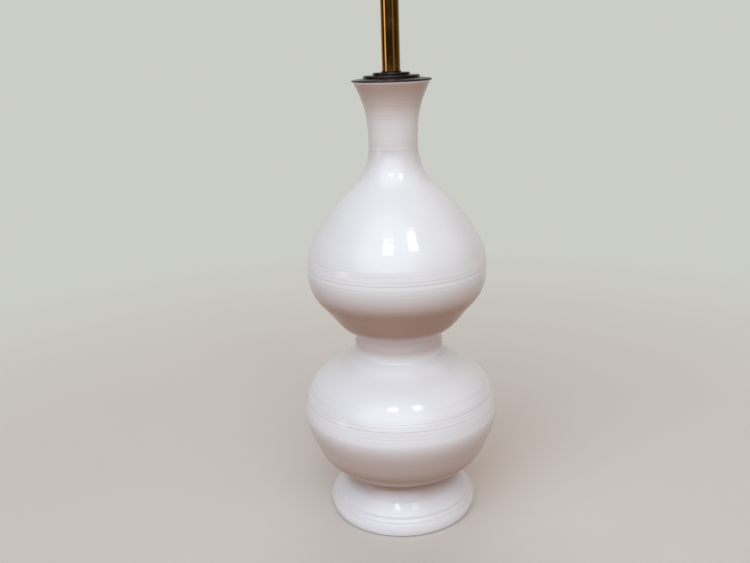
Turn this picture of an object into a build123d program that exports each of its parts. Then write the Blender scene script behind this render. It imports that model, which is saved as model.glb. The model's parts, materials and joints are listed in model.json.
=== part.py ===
from build123d import *

import os
from math import sqrt

os.makedirs("parts", exist_ok=True)

# A double gourd table lamp: a turned ceramic body on a moulded foot, a stepped cap on its neck, a plain
# stem, and a two-light cluster whose sockets hang mouth down from bent arms. Millimetres, +Z up, with the
# origin on the table under the lamp's axis. The lights stand to the left and right, along X, and the cord
# leaves at the back, +Y.

# ---------------------------------------------------------------- driving sizes
# Felt pad and moulded foot
pad_thickness = 1.5
pad_inset = 3.0
foot_radius = 71.0
foot_band_height = 11.0
foot_band_bulge = 1.3
bead_count = 2
bead_height = 3.1
bead_step = 2.3
bead_lean = 0.1
bead_fullness = 0.6
foot_neck_radius = 50.0
foot_height = 39.5
foot_wall = 6.5
recess_height = 36.0

# Ceramic body, its heights measured from the bottom of the foot
body_wall = 5.5
lower_bulb_radius = 91.9
lower_bulb_height = 102.5
waist_radius = 40.8
waist_bottom = 165.0
waist_top = 176.0
upper_bulb_radius = 82.1
upper_bulb_height = 245.0
neck_radius = 21.5
neck_flare_height = 50.75
lip_radius = 34.0
lip_height = 406.25
neck_wall = 4.5
pipe_hole_radius = 6.0

# How the outline runs between its turning points, as shares of the way across and of the way up
foot_flare_shares = [(0.42, 0.33), (0.83, 0.66)]
lower_underside_shares = [(0.38, 0.143), (0.59, 0.267), (0.835, 0.579)]
lower_shoulder_shares = [(0.076, 0.29), (0.232, 0.484), (0.552, 0.677), (0.765, 0.779), (0.92, 0.879)]
upper_underside_shares = [(0.27, 0.152), (0.622, 0.406), (0.872, 0.595), (0.971, 0.76)]
upper_shoulder_shares = [
    (0.065, 0.16), (0.245, 0.33), (0.42, 0.46), (0.692, 0.61), (0.905, 0.745), (0.988, 0.89)
]
neck_flare_shares = [(0.06, 0.296), (0.243, 0.571), (0.681, 0.853)]

# Cord outlet in the back of the foot
outlet_hole_radius = 4.0
outlet_bore_radius = 2.6
outlet_lead_radius = 3.2
grommet_flange_radius = 5.2
grommet_flange = 2.6

# Threaded pipe and what it draws together under the floor
pipe_radius = 4.85
pipe_bore_radius = 3.3
pipe_tail = 4.0
washer_radius = 19.0
washer_thickness = 2.0
lock_washer_radius = 8.2
lock_washer_thickness = 1.8
lock_washer_split = 1.6
lock_washer_slant = 20.0
nut_across_flats = 14.3
nut_thickness = 4.8

# Stepped cap on the neck: a spun cap and two discs
cap_radius = 34.9
cap_edge = 1.5
cap_rise = 2.6
cap_sheet = 1.3
cap_step_width = 8.5
cap_collar_depth = 4.0
cap_collar_wall = 1.2
cap_collar_gap = 1.0
large_disc_radius = 24.6
small_disc_radius = 16.1
disc_thickness = 2.3
boss_height = 1.2
boss_wall = 0.5
disc_edge = 0.7

# Stem
stem_radius = 7.95
stem_wall = 1.0
stem_length = 302.0

# Cluster hub, its cover and its arms
hub_radius = 14.0
hub_height = 26.0
hub_wall = 3.5
hub_floor = 7.0
hub_shoulder_share = 0.35
hub_spigot = 4.0
hub_groove = 1.2
hub_boss_radius = 8.4
hub_boss = 1.6
cover_rise = 5.0
cover_lap = 4.0
arm_radius = 4.75
arm_bore_radius = 3.2
arm_bend_radius = 20.0
light_spread = 110.0
arm_tail = 10.0
locknut_across_flats = 15.0
locknut_thickness = 3.0

# Lamp sockets, one at the end of each arm
socket_cap_radius = 17.6
socket_cap_dome = 14.0
socket_cap_skirt = 7.0
socket_cap_shoulder = (0.62, 0.28)
socket_cap_neck = 6.8
socket_cap_neck_length = 8.0
sheet_thickness = 0.7
shell_length = 50.0
shell_lap = 5.0
bead_radius = 0.9
bead_rise = 9.0
liner_thickness = 0.6
liner_inset = 2.0
fit_gap = 0.15
holder_length = 19.0
holder_bore_radius = 3.0
contact_radius = 4.5
contact_thickness = 1.2
screw_shell_lip = 1.2
screw_shell_wall = 0.5

# Light bulbs
bulb_radius = 30.0
bulb_length = 110.0
bulb_neck_radius = 14.4
bulb_flank_shares = [(0.12, 0.2), (0.45, 0.45), (0.82, 0.72)]
bulb_base_radius = 13.1
bulb_base_length = 21.0
bulb_glass_wall = 0.9
bulb_tip_radius = 4.2
bulb_tip_flat = 2.5
bulb_tip_height = 1.2
bulb_insulator = 3.4
bulb_gap = 0.3

# Pull chains and their guides
chain_reach = 32.0
guide_radius = 2.9
guide_bore_radius = 2.0
guide_bend_radius = 6.0
guide_mouth_radius = 3.7
guide_drop = 12.0
guide_clear = 1.2
guide_well = 5.0
ball_radius = 1.6
ball_pitch = 4.2
ball_count = 10
link_radius = 0.6
chain_tuck = 1.5
bell_radius = 3.4
bell_length = 9.0
bell_crown_radius = 1.2
bell_waist_radius = 2.45
bell_overlap = 1.3

# Stud, shade seat and finial on the hub
stud_radius = 3.1
seat_foot_radius = 7.0
seat_radius = 11.5
seat_waist_radius = 5.0
seat_height = 10.0
seat_flange = 2.0
finial_radius = 8.6
finial_foot_radius = 6.4
finial_neck_radius = 4.4
finial_foot = 3.0
finial_foot_edge = 1.5
finial_neck = 6.5
finial_collar_radius = 5.5
finial_height = 27.0
finial_ball_share = 0.36
finial_tip_share = 0.8
finial_tip_radius = 3.3
finial_bore_depth = 18.0
finial_grip = 15.0

# Clearances shared by several fits
thread_gap = 0.03
pipe_chamfer = 0.6
turning_gap = 0.05
seat_gap = 0.3

# ---------------------------------------------------------------- places that follow from the sizes
foot_z = pad_thickness
lip_z = foot_z + lip_height
neck_z = lip_z - neck_flare_height
floor_z = foot_z + recess_height
outlet_z = foot_z + foot_band_height / 2
cap_top = lip_z + cap_rise
large_disc_top = cap_top + disc_thickness
stem_z = large_disc_top + disc_thickness
hub_z = stem_z + stem_length
hub_top = hub_z + hub_height
cover_top = hub_top + cover_rise
arm_z = hub_z + hub_floor + hub_boss_radius / 2
bend_z = arm_z - arm_bend_radius
light_x = light_spread / 2
arm_end_z = bend_z - arm_tail
socket_cap_top = arm_end_z + socket_cap_neck_length
dome_top = socket_cap_top - socket_cap_neck_length
cap_skirt_top = dome_top - socket_cap_dome
cap_skirt_bottom = cap_skirt_top - socket_cap_skirt
shell_radius = socket_cap_radius - sheet_thickness - fit_gap
shell_top = cap_skirt_bottom + shell_lap
shell_bottom = shell_top - shell_length
liner_radius = shell_radius - sheet_thickness - fit_gap
holder_radius = liner_radius - liner_thickness - fit_gap
screw_shell_radius = bulb_base_radius + bulb_gap + screw_shell_wall
holder_bottom = shell_top - holder_length
contact_z = holder_bottom - contact_thickness
bulb_top = contact_z - bulb_gap
base_top = bulb_top - bulb_tip_height - bulb_insulator
glass_top = base_top - bulb_base_length
bulb_bottom = bulb_top - bulb_length
guide_z = cap_skirt_bottom - guide_radius - guide_clear
mouth_z = guide_z - guide_bend_radius - guide_drop
seat_top = cover_top + seat_height
finial_z = seat_top + seat_gap
nut_top = floor_z - washer_thickness - lock_washer_thickness
pipe_z = nut_top - nut_thickness - pipe_tail
sides = (("left", -1), ("right", 1))


def share(start, end, shares):
    """Points between start and end, each a share of the way across and a share of the way up."""
    return [
        (start[0] + across * (end[0] - start[0]), start[1] + up * (end[1] - start[1]))
        for across, up in shares
    ]


def inset(points, depth):
    """The points moved towards the axis by depth, square to the line through each point's neighbours."""
    moved = []
    for i, (r, h) in enumerate(points):
        before, after = points[max(i - 1, 0)], points[min(i + 1, len(points) - 1)]
        dr, dh = after[0] - before[0], after[1] - before[1]
        length = sqrt(dr * dr + dh * dh)
        moved.append((r - depth * dh / length, h + depth * dr / length))
    return moved


def upright(x=0.0, side=1):
    """The upright plane through a turned piece's axis at x, facing so that its X runs away from the stem."""
    return Plane(origin=(x, 0, 0), x_dir=(side, 0, 0), z_dir=(0, -side, 0))


def axis_at(x=0.0):
    """The upright axis that a turned piece at x is turned about."""
    return Axis((x, 0, 0), (0, 0, 1))


def finish(piece, label):
    """Name a finished piece and write its file."""
    piece.part.label = label
    export_step(piece.part, f"parts/{label}.step")


def ring(outer, inner, z, x=0.0):
    """A flat ring at height z about the upright axis at x, ready to be extruded into a tube."""
    with BuildSketch(Plane((x, 0, z))) as flat:
        Circle(outer)
        Circle(inner, mode=Mode.SUBTRACT)
    return flat.sketch


# ---------------------------------------------------------------- outline of the ceramic body
foot_crease = (foot_neck_radius, foot_z + foot_height)
lower_widest = (lower_bulb_radius, foot_z + lower_bulb_height)
waist_foot = (waist_radius, foot_z + waist_bottom)
waist_crease = (waist_radius, foot_z + waist_top)
upper_widest = (upper_bulb_radius, foot_z + upper_bulb_height)
neck_narrowest = (neck_radius, neck_z)
lip = (lip_radius, lip_z)
bead_top = (
    foot_radius - foot_band_bulge - (bead_count - 0.5) * bead_step,
    foot_z + foot_band_height + bead_count * bead_height,
)
flare_points = [bead_top, *share(bead_top, foot_crease, foot_flare_shares), foot_crease]
lower_points = [
    foot_crease,
    *share(foot_crease, lower_widest, lower_underside_shares),
    lower_widest,
    *share(lower_widest, waist_foot, lower_shoulder_shares),
    waist_foot,
]
upper_points = [
    waist_crease,
    *share(waist_crease, upper_widest, upper_underside_shares),
    upper_widest,
    *share(upper_widest, neck_narrowest, upper_shoulder_shares),
    neck_narrowest,
]
flare_out_points = [neck_narrowest, *share(neck_narrowest, lip, neck_flare_shares), lip]
inner_lower = inset(lower_points, body_wall)
inner_upper = inset(upper_points[:-1], body_wall) + inset(flare_out_points, neck_wall)[:-1]
inner_upper.append((lip_radius - neck_wall, lip_z))
inner_recess = inset(flare_points, foot_wall)
recess_rim = (foot_radius - foot_wall, foot_z)


def mouth_radius(depth):
    """The radius inside the neck's mouth at a depth under the lip."""
    below = [p for p in inner_upper if p[1] <= lip_z - depth][-1]
    above = [p for p in inner_upper if p[1] > below[1]][0]
    part = (lip_z - depth - below[1]) / (above[1] - below[1])
    return below[0] + part * (above[0] - below[0])


# ---------------------------------------------------------------- pad, body and cord outlet
with BuildPart() as felt_pad:
    with BuildSketch(Plane.XY):
        Circle(foot_radius - pad_inset)
    extrude(amount=pad_thickness)
finish(felt_pad, "felt_pad")

with BuildPart() as gourd_body:
    with BuildSketch(upright()):
        with BuildLine():
            band_radius = foot_radius - foot_band_bulge
            band_top = foot_z + foot_band_height
            Line(recess_rim, (band_radius, foot_z))
            ThreePointArc(
                (band_radius, foot_z),
                (foot_radius, foot_z + foot_band_height / 2),
                (band_radius, band_top),
            )
            for i in range(bead_count):
                # Each bead starts half a step inside the one below it and rolls over to its own top.
                outer = band_radius - i * bead_step
                inner = outer - bead_step / 2
                low = band_top + i * bead_height
                rolled = bead_top[0] if i == bead_count - 1 else outer - bead_step
                Line((outer, low), (inner, low))
                ThreePointArc(
                    (inner, low),
                    (inner - bead_lean * bead_step, low + bead_fullness * bead_height),
                    (rolled, low + bead_height),
                )
            Spline(*flare_points)
            Spline(*lower_points, tangents=[(1, 0.45), (0, 1)])
            Line(waist_foot, waist_crease)
            Spline(*upper_points, tangents=[(0.7, 1), (0, 1)])
            Spline(*flare_out_points, tangents=[(0, 1), (0.55, 1)])
            Line(lip, inner_upper[-1])
            Spline(*reversed(inner_upper))
            Line(inner_upper[0], inner_lower[-1])
            Spline(*reversed(inner_lower))
            Line(inner_lower[0], (pipe_hole_radius, inner_lower[0][1]))
            Line((pipe_hole_radius, inner_lower[0][1]), (pipe_hole_radius, floor_z))
            Line((pipe_hole_radius, floor_z), (inner_recess[-1][0], floor_z))
            Line((inner_recess[-1][0], floor_z), inner_recess[-2])
            Spline(*reversed(inner_recess[:-1]))
            Line(inner_recess[0], recess_rim)
        make_face()
    revolve(axis=axis_at())
    with BuildSketch(Plane.XZ.offset(-foot_radius - foot_wall)):
        with Locations((0, outlet_z)):
            Circle(outlet_hole_radius)
    extrude(amount=2 * foot_wall + foot_band_bulge, mode=Mode.SUBTRACT)
finish(gourd_body, "gourd_body")

with BuildPart() as cord_grommet:
    # A rubber bush pushed into the hole from behind, with its flange against the foot.
    behind = Plane(origin=(0, foot_radius + turning_gap, outlet_z), x_dir=(1, 0, 0), z_dir=(0, 1, 0))
    with BuildSketch(behind):
        Circle(grommet_flange_radius)
    extrude(amount=grommet_flange)
    fillet(cord_grommet.edges().group_by(Axis.Y)[-1], grommet_flange / 2)
    with BuildSketch(behind):
        Circle(outlet_hole_radius - turning_gap)
    extrude(amount=-foot_wall)
    with BuildSketch(behind):
        Circle(outlet_bore_radius)
    extrude(amount=grommet_flange, mode=Mode.SUBTRACT)
    with BuildSketch(behind):
        Circle(outlet_lead_radius)
    extrude(amount=-foot_wall, mode=Mode.SUBTRACT)
finish(cord_grommet, "cord_grommet")

# ---------------------------------------------------------------- threaded pipe and what it draws together
with BuildPart() as threaded_pipe:
    extrude(ring(pipe_radius, pipe_bore_radius, pipe_z), amount=hub_z + hub_floor - pipe_z)
    chamfer(threaded_pipe.edges().filter_by(GeomType.CIRCLE).group_by(SortBy.RADIUS)[-1], pipe_chamfer)
finish(threaded_pipe, "threaded_pipe")

with BuildPart() as base_washer:
    extrude(ring(washer_radius, pipe_radius + seat_gap, floor_z), amount=-washer_thickness)
    fillet(base_washer.edges().group_by(Axis.Z)[0].sort_by(SortBy.RADIUS)[-1], washer_thickness / 3)
finish(base_washer, "base_washer")

with BuildPart() as lock_washer:
    extrude(ring(lock_washer_radius, pipe_radius + seat_gap, nut_top), amount=lock_washer_thickness)
    with BuildSketch(Plane.XY.offset(nut_top)):
        with Locations((lock_washer_radius, 0)):
            Rectangle(2 * lock_washer_radius, lock_washer_split, rotation=-lock_washer_slant)
    extrude(amount=lock_washer_thickness, mode=Mode.SUBTRACT)
finish(lock_washer, "lock_washer")

with BuildPart() as base_nut:
    with BuildSketch(Plane.XY.offset(nut_top - nut_thickness)):
        RegularPolygon(nut_across_flats / 2, 6, major_radius=False)
        Circle(pipe_radius + thread_gap, mode=Mode.SUBTRACT)
    extrude(amount=nut_thickness)
finish(base_nut, "base_nut")

# ---------------------------------------------------------------- stepped cap on the neck
with BuildPart() as cap_plate:
    collar_outer = mouth_radius(cap_collar_depth) - cap_collar_gap
    collar_inner = collar_outer - cap_collar_wall
    edge_in = cap_radius - cap_edge / 2
    bore = pipe_radius + seat_gap
    with BuildSketch(upright()):
        with BuildLine():
            Line((bore, cap_top), (cap_radius - cap_step_width, cap_top))
            Line((cap_radius - cap_step_width, cap_top), (edge_in, lip_z + cap_edge))
            ThreePointArc((edge_in, lip_z + cap_edge), (cap_radius, lip_z + cap_edge / 2), (edge_in, lip_z))
            Polyline(
                (edge_in, lip_z),
                (collar_outer, lip_z),
                (collar_outer, lip_z - cap_collar_depth),
                (collar_inner, lip_z - cap_collar_depth),
                (collar_inner, cap_top - cap_sheet),
                (bore, cap_top - cap_sheet),
                (bore, cap_top),
            )
        make_face()
    revolve(axis=axis_at())
finish(cap_plate, "cap_plate")

with BuildPart() as cap_large_disc:
    extrude(ring(large_disc_radius, pipe_radius + seat_gap, cap_top), amount=disc_thickness)
    fillet(cap_large_disc.edges().group_by(Axis.Z)[-1].sort_by(SortBy.RADIUS)[-1], disc_edge)
finish(cap_large_disc, "cap_large_disc")

with BuildPart() as cap_small_disc:
    # A low boss stands round the foot of the stem.
    extrude(ring(small_disc_radius, pipe_radius + seat_gap, large_disc_top), amount=disc_thickness)
    fillet(cap_small_disc.edges().group_by(Axis.Z)[-1].sort_by(SortBy.RADIUS)[-1], disc_edge)
    extrude(ring(stem_radius + fit_gap + boss_wall, stem_radius + fit_gap, stem_z), amount=boss_height)
    chamfer(cap_small_disc.edges().group_by(Axis.Z)[-1].sort_by(SortBy.RADIUS)[-1], boss_wall / 2)
finish(cap_small_disc, "cap_small_disc")

with BuildPart() as stem_tube:
    extrude(ring(stem_radius, stem_radius - stem_wall, stem_z), amount=stem_length)
finish(stem_tube, "stem_tube")

# ---------------------------------------------------------------- cluster hub with its cover
with BuildPart() as cluster_hub:
    # A turned cup with a groove round its middle, a spigot in the stem and a flat boss for each arm.
    with BuildSketch(upright()):
        with BuildLine():
            spigot = stem_radius - stem_wall - fit_gap
            shoulder = (stem_radius + hub_radius) / 2
            Polyline(
                (pipe_radius + thread_gap, hub_z - hub_spigot),
                (spigot, hub_z - hub_spigot),
                (spigot, hub_z),
                (stem_radius, hub_z),
            )
            Spline(
                (stem_radius, hub_z),
                (shoulder, hub_z + hub_floor * hub_shoulder_share),
                (hub_radius, hub_z + hub_floor),
                tangents=[(0.5, 1), (0.2, 1)],
            )
            Line((hub_radius, hub_z + hub_floor), (hub_radius, hub_top - 3 * hub_groove))
            ThreePointArc(
                (hub_radius, hub_top - 3 * hub_groove),
                (hub_radius - hub_groove, hub_top - 2 * hub_groove),
                (hub_radius, hub_top - hub_groove),
            )
            Polyline(
                (hub_radius, hub_top - hub_groove),
                (hub_radius, hub_top),
                (hub_radius - hub_wall, hub_top),
                (hub_radius - hub_wall, hub_z + hub_floor),
                (pipe_radius + thread_gap, hub_z + hub_floor),
                (pipe_radius + thread_gap, hub_z - hub_spigot),
            )
        make_face()
    revolve(axis=axis_at())
    for name, side in sides:
        outward = Plane(origin=(0, 0, arm_z), x_dir=(0, side, 0), z_dir=(side, 0, 0))
        with BuildSketch(outward.offset(hub_radius - hub_wall / 2)):
            Circle(hub_boss_radius)
        extrude(amount=hub_wall / 2 + hub_boss)
        with BuildSketch(outward.offset(hub_wall)):
            Circle(arm_radius + thread_gap)
        extrude(amount=hub_radius + hub_boss, mode=Mode.SUBTRACT)
finish(cluster_hub, "cluster_hub")

with BuildPart() as hub_cover:
    # A low turned dome whose skirt drops into the hub, with a threaded hole for the stud.
    with BuildSketch(upright()):
        with BuildLine():
            Line((stud_radius + thread_gap, cover_top), (seat_foot_radius, cover_top))
            Spline((seat_foot_radius, cover_top), (hub_radius, hub_top), tangents=[(1, -0.1), (0.3, -1)])
            Polyline(
                (hub_radius, hub_top),
                (hub_radius - hub_wall - fit_gap, hub_top),
                (hub_radius - hub_wall - fit_gap, hub_top - cover_lap),
                (stud_radius + thread_gap, hub_top - cover_lap),
                (stud_radius + thread_gap, cover_top),
            )
        make_face()
    revolve(axis=axis_at())
finish(hub_cover, "hub_cover")

# ---------------------------------------------------------------- one light on each side
for name, side in sides:
    x = side * light_x
    outward = Plane(origin=(0, 0, arm_z), x_dir=(0, side, 0), z_dir=(side, 0, 0))

    with BuildPart() as arm:
        # A bent tube: level out of the hub, then a quarter turn down to the socket.
        with BuildLine(upright(0, side)) as arm_path:
            Line((hub_radius - hub_wall, arm_z), (light_x - arm_bend_radius, arm_z))
            RadiusArc(
                (light_x - arm_bend_radius, arm_z),
                (light_x, bend_z),
                arm_bend_radius,
            )
            Line((light_x, bend_z), (light_x, arm_end_z))
        with BuildSketch(outward.offset(hub_radius - hub_wall)):
            Circle(arm_radius)
            Circle(arm_bore_radius, mode=Mode.SUBTRACT)
        sweep(path=arm_path.line)
    finish(arm, f"{name}_arm")

    with BuildPart() as arm_locknut:
        with BuildSketch(outward.offset(hub_radius + hub_boss)):
            RegularPolygon(locknut_across_flats / 2, 6, major_radius=False)
            Circle(arm_radius + thread_gap, mode=Mode.SUBTRACT)
        extrude(amount=locknut_thickness)
    finish(arm_locknut, f"{name}_arm_locknut")

    with BuildPart() as socket_cap:
        # Spun brass: a threaded neck on the arm, a domed shoulder and a straight skirt.
        with BuildSketch(upright(x)):
            with BuildLine():
                inner_neck = arm_radius + thread_gap
                inner_skirt = socket_cap_radius - sheet_thickness
                dome_start = (socket_cap_neck, dome_top)
                dome_end = (socket_cap_radius, cap_skirt_top)
                dome_middle = share(dome_start, dome_end, [socket_cap_shoulder])[0]
                inner_middle = inset([dome_end, dome_middle, dome_start], sheet_thickness)[1]
                Line((inner_neck, socket_cap_top), (socket_cap_neck, socket_cap_top))
                Line((socket_cap_neck, socket_cap_top), dome_start)
                Spline(dome_start, dome_middle, dome_end, tangents=[(1, -0.1), (0, -1)])
                Line(dome_end, (socket_cap_radius, cap_skirt_bottom))
                Line((socket_cap_radius, cap_skirt_bottom), (inner_skirt, cap_skirt_bottom))
                Line((inner_skirt, cap_skirt_bottom), (inner_skirt, cap_skirt_top))
                Spline(
                    (inner_skirt, cap_skirt_top),
                    inner_middle,
                    (socket_cap_neck, dome_top - sheet_thickness),
                    tangents=[(0, 1), (-1, 0.1)],
                )
                Polyline(
                    (socket_cap_neck, dome_top - sheet_thickness),
                    (inner_neck, dome_top - sheet_thickness),
                    (inner_neck, socket_cap_top),
                )
            make_face()
        revolve(axis=axis_at(x))
    finish(socket_cap, f"{name}_socket_cap")

    guide_hole = Plane(origin=(x, 0, guide_z), x_dir=(0, side, 0), z_dir=(side, 0, 0))

    with BuildPart() as socket_shell:
        # Spun brass tube with a rolled bead, open below, pierced for the chain guide.
        extrude(ring(shell_radius, shell_radius - sheet_thickness, shell_bottom, x), amount=shell_length)
        with BuildSketch(upright(x)):
            for bead_z in (shell_bottom + bead_radius, shell_bottom + bead_rise):
                with Locations((shell_radius - sheet_thickness / 2, bead_z)):
                    Circle(bead_radius)
            split(bisect_by=Plane.YZ.offset(shell_radius - sheet_thickness))
        revolve(axis=axis_at(x))
        with BuildSketch(guide_hole):
            Circle(guide_radius + fit_gap)
        extrude(amount=socket_cap_radius, mode=Mode.SUBTRACT)
    finish(socket_shell, f"{name}_socket_shell")

    with BuildPart() as socket_liner:
        extrude(
            ring(liner_radius, liner_radius - liner_thickness, shell_top, x),
            amount=liner_inset - shell_length,
        )
        with BuildSketch(guide_hole):
            Circle(guide_radius + fit_gap)
        extrude(amount=socket_cap_radius, mode=Mode.SUBTRACT)
    finish(socket_liner, f"{name}_socket_liner")

    with BuildPart() as socket_holder:
        # The moulded interior: a plug with two wire holes and a well for the chain guide.
        with BuildSketch(Plane((x, 0, holder_bottom))):
            Circle(holder_radius)
            with Locations((0, -holder_radius / 2), (0, holder_radius / 2)):
                Circle(holder_bore_radius, mode=Mode.SUBTRACT)
        extrude(amount=holder_length)
        with BuildSketch(guide_hole.offset(holder_radius - guide_well)):
            Circle(guide_radius + fit_gap)
        extrude(amount=guide_well, mode=Mode.SUBTRACT)
        chamfer(socket_holder.edges().group_by(Axis.Z)[-1].sort_by(SortBy.RADIUS)[-1], liner_thickness)
    finish(socket_holder, f"{name}_socket_holder")

    with BuildPart() as contact:
        with BuildSketch(Plane((x, 0, contact_z))):
            Circle(contact_radius)
        extrude(amount=contact_thickness)
        fillet(contact.edges().group_by(Axis.Z)[0], contact_thickness / 2)
    finish(contact, f"{name}_contact")

    with BuildPart() as screw_shell:
        lip_of_shell = glass_top + screw_shell_lip
        extrude(
            ring(screw_shell_radius, screw_shell_radius - screw_shell_wall, lip_of_shell, x),
            amount=holder_bottom - lip_of_shell,
        )
    finish(screw_shell, f"{name}_screw_shell")

    with BuildPart() as chain_guide:
        # A bent tube from the switch, which turns the chain's pull downwards and ends in a flared mouth.
        guide_start = holder_radius - guide_well + fit_gap
        turn_start = chain_reach - guide_bend_radius
        with BuildLine(upright(x, side)) as guide_path:
            Line((guide_start, guide_z), (turn_start, guide_z))
            RadiusArc((turn_start, guide_z), (chain_reach, guide_z - guide_bend_radius), guide_bend_radius)
            Line((chain_reach, guide_z - guide_bend_radius), (chain_reach, mouth_z))
        with BuildSketch(guide_hole.offset(guide_start)):
            Circle(guide_radius)
            Circle(guide_bore_radius, mode=Mode.SUBTRACT)
        sweep(path=guide_path.line)
        with BuildSketch(upright(x + side * chain_reach)):
            with BuildLine():
                flare = guide_mouth_radius - guide_bore_radius
                Polyline(
                    (guide_radius - sheet_thickness / 2, mouth_z + 2 * flare),
                    (guide_radius, mouth_z + 2 * flare),
                    (guide_mouth_radius, mouth_z + sheet_thickness),
                    (guide_mouth_radius, mouth_z),
                    (guide_radius - sheet_thickness / 2, mouth_z),
                    close=True,
                )
            make_face()
        revolve(axis=axis_at(x + side * chain_reach))
    finish(chain_guide, f"{name}_chain_guide")

    with BuildPart() as pull_chain:
        # Balls on short links, from inside the guide down to a bell.
        chain_x = x + side * chain_reach
        top_ball = guide_z - guide_bend_radius - chain_tuck
        with Locations([(chain_x, 0, top_ball - i * ball_pitch) for i in range(ball_count)]):
            Sphere(ball_radius)
        last_ball = top_ball - (ball_count - 1) * ball_pitch
        bell_top = last_ball - bell_overlap
        with BuildSketch(Plane((chain_x, 0, last_ball))):
            Circle(link_radius)
        extrude(amount=top_ball - last_ball)
        with BuildSketch(upright(chain_x)):
            with BuildLine():
                Polyline(
                    (bell_radius, bell_top - bell_length),
                    (0, bell_top - bell_length),
                    (0, bell_top),
                    (bell_crown_radius, bell_top),
                )
                Spline(
                    (bell_crown_radius, bell_top),
                    (bell_waist_radius, bell_top - bell_length / 2),
                    (bell_radius, bell_top - bell_length),
                    tangents=[(1, -0.4), (0.45, -1)],
                )
            make_face()
        revolve(axis=axis_at(chain_x))
    finish(pull_chain, f"{name}_pull_chain")

    with BuildPart() as bulb_glass:
        # A pear-shaped envelope, closed at the bottom, whose neck stands in the metal base.
        with BuildSketch(upright(x)):
            with BuildLine():
                equator = (bulb_radius, bulb_bottom + bulb_radius)
                neck = (bulb_neck_radius, glass_top)
                outer_points = [neck, *share(neck, equator, bulb_flank_shares), equator]
                inner_points = inset(outer_points, -bulb_glass_wall)
                inner_points[0] = (bulb_neck_radius - bulb_glass_wall, glass_top)
                inner_points[-1] = (bulb_radius - bulb_glass_wall, bulb_bottom + bulb_radius)
                Spline(*outer_points, tangents=[(0.1, -1), (0, -1)])
                JernArc(equator, (0, -1), bulb_radius, -90)
                Line((0, bulb_bottom), (0, bulb_bottom + bulb_glass_wall))
                JernArc((0, bulb_bottom + bulb_glass_wall), (1, 0), bulb_radius - bulb_glass_wall, 90)
                Spline(*reversed(inner_points), tangents=[(0, 1), (-0.1, 1)])
                Line(inner_points[0], neck)
            make_face()
        revolve(axis=axis_at(x))
    finish(bulb_glass, f"{name}_bulb_glass")

    with BuildPart() as bulb_base:
        # A metal screw cap on the neck, a tapered insulator and the tip.
        with BuildSketch(upright(x)):
            with BuildLine():
                Polyline(
                    (0, bulb_top),
                    (bulb_tip_flat, bulb_top),
                    (bulb_tip_radius, bulb_top - bulb_tip_height),
                    (bulb_base_radius - bulb_insulator, base_top),
                    (bulb_base_radius, base_top - bulb_insulator / 2),
                    (bulb_base_radius, glass_top),
                    (0, glass_top),
                    close=True,
                )
            make_face()
        revolve(axis=axis_at(x))
    finish(bulb_base, f"{name}_bulb_base")

# ---------------------------------------------------------------- stud, shade seat and finial
with BuildPart() as top_stud:
    with BuildSketch(Plane.XY.offset(hub_top - cover_lap)):
        Circle(stud_radius)
    extrude(amount=finial_z + finial_grip - hub_top + cover_lap)
    chamfer(top_stud.edges().group_by(Axis.Z)[-1], pipe_chamfer)
finish(top_stud, "top_stud")

with BuildPart() as shade_seat:
    with BuildSketch(upright()):
        with BuildLine():
            bore = stud_radius + thread_gap
            waist_z = cover_top + seat_height / 2
            flange_z = seat_top - seat_flange
            Line((bore, cover_top), (seat_foot_radius, cover_top))
            Spline(
                (seat_foot_radius, cover_top),
                (seat_waist_radius, waist_z),
                (seat_radius, flange_z),
                tangents=[(-0.3, 1), (1, 0.25)],
            )
            ThreePointArc(
                (seat_radius, flange_z),
                (seat_radius + seat_flange / 4, seat_top - seat_flange / 2),
                (seat_radius, seat_top),
            )
            Line((seat_radius, seat_top), (bore, seat_top))
            Line((bore, seat_top), (bore, cover_top))
        make_face()
    revolve(axis=axis_at())
finish(shade_seat, "shade_seat")

with BuildPart() as finial:
    # A turned knob: a foot, a narrow neck that flares to a collar, and a ball that runs up to a point.
    with BuildSketch(upright()):
        with BuildLine():
            bore = stud_radius + turning_gap
            neck_middle = finial_z + finial_foot + finial_neck / 2
            ball_z = finial_z + finial_foot + finial_neck
            finial_top = finial_z + finial_height
            Line((bore, finial_z), (finial_foot_radius, finial_z))
            Line((finial_foot_radius, finial_z), (finial_foot_radius, finial_z + finial_foot_edge))
            Spline(
                (finial_foot_radius, finial_z + finial_foot_edge),
                (finial_neck_radius, neck_middle),
                (finial_collar_radius, ball_z),
                tangents=[(-1, 0.6), (0.6, 1)],
            )
            Spline(
                (finial_collar_radius, ball_z),
                (finial_radius, ball_z + (finial_top - ball_z) * finial_ball_share),
                (finial_tip_radius, ball_z + (finial_top - ball_z) * finial_tip_share),
                (0, finial_top),
                tangents=[(1, 0.35), (-1, 0.25)],
            )
            Polyline(
                (0, finial_top),
                (0, finial_z + finial_bore_depth),
                (bore, finial_z + finial_bore_depth),
                (bore, finial_z),
            )
        make_face()
    revolve(axis=axis_at())
finish(finial, "finial")
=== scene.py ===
# %% [markdown]
# # A double gourd table lamp
# The lamp's construction comes ready made as a frame: every fitting already has its true size and place, in
# metres, with the origin on the table under the lamp's axis. This lesson gives the lamp its looks. It sets
# up a camera and a plain studio, mixes a finish for every part, and makes new skins for what a plain solid
# can't show: the thrown and glazed body, screw threads, ball chains and the felt underneath.

import json
import math

import bmesh
import bpy
from mathutils import Matrix, Vector
from mathutils.bvhtree import BVHTree


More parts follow.
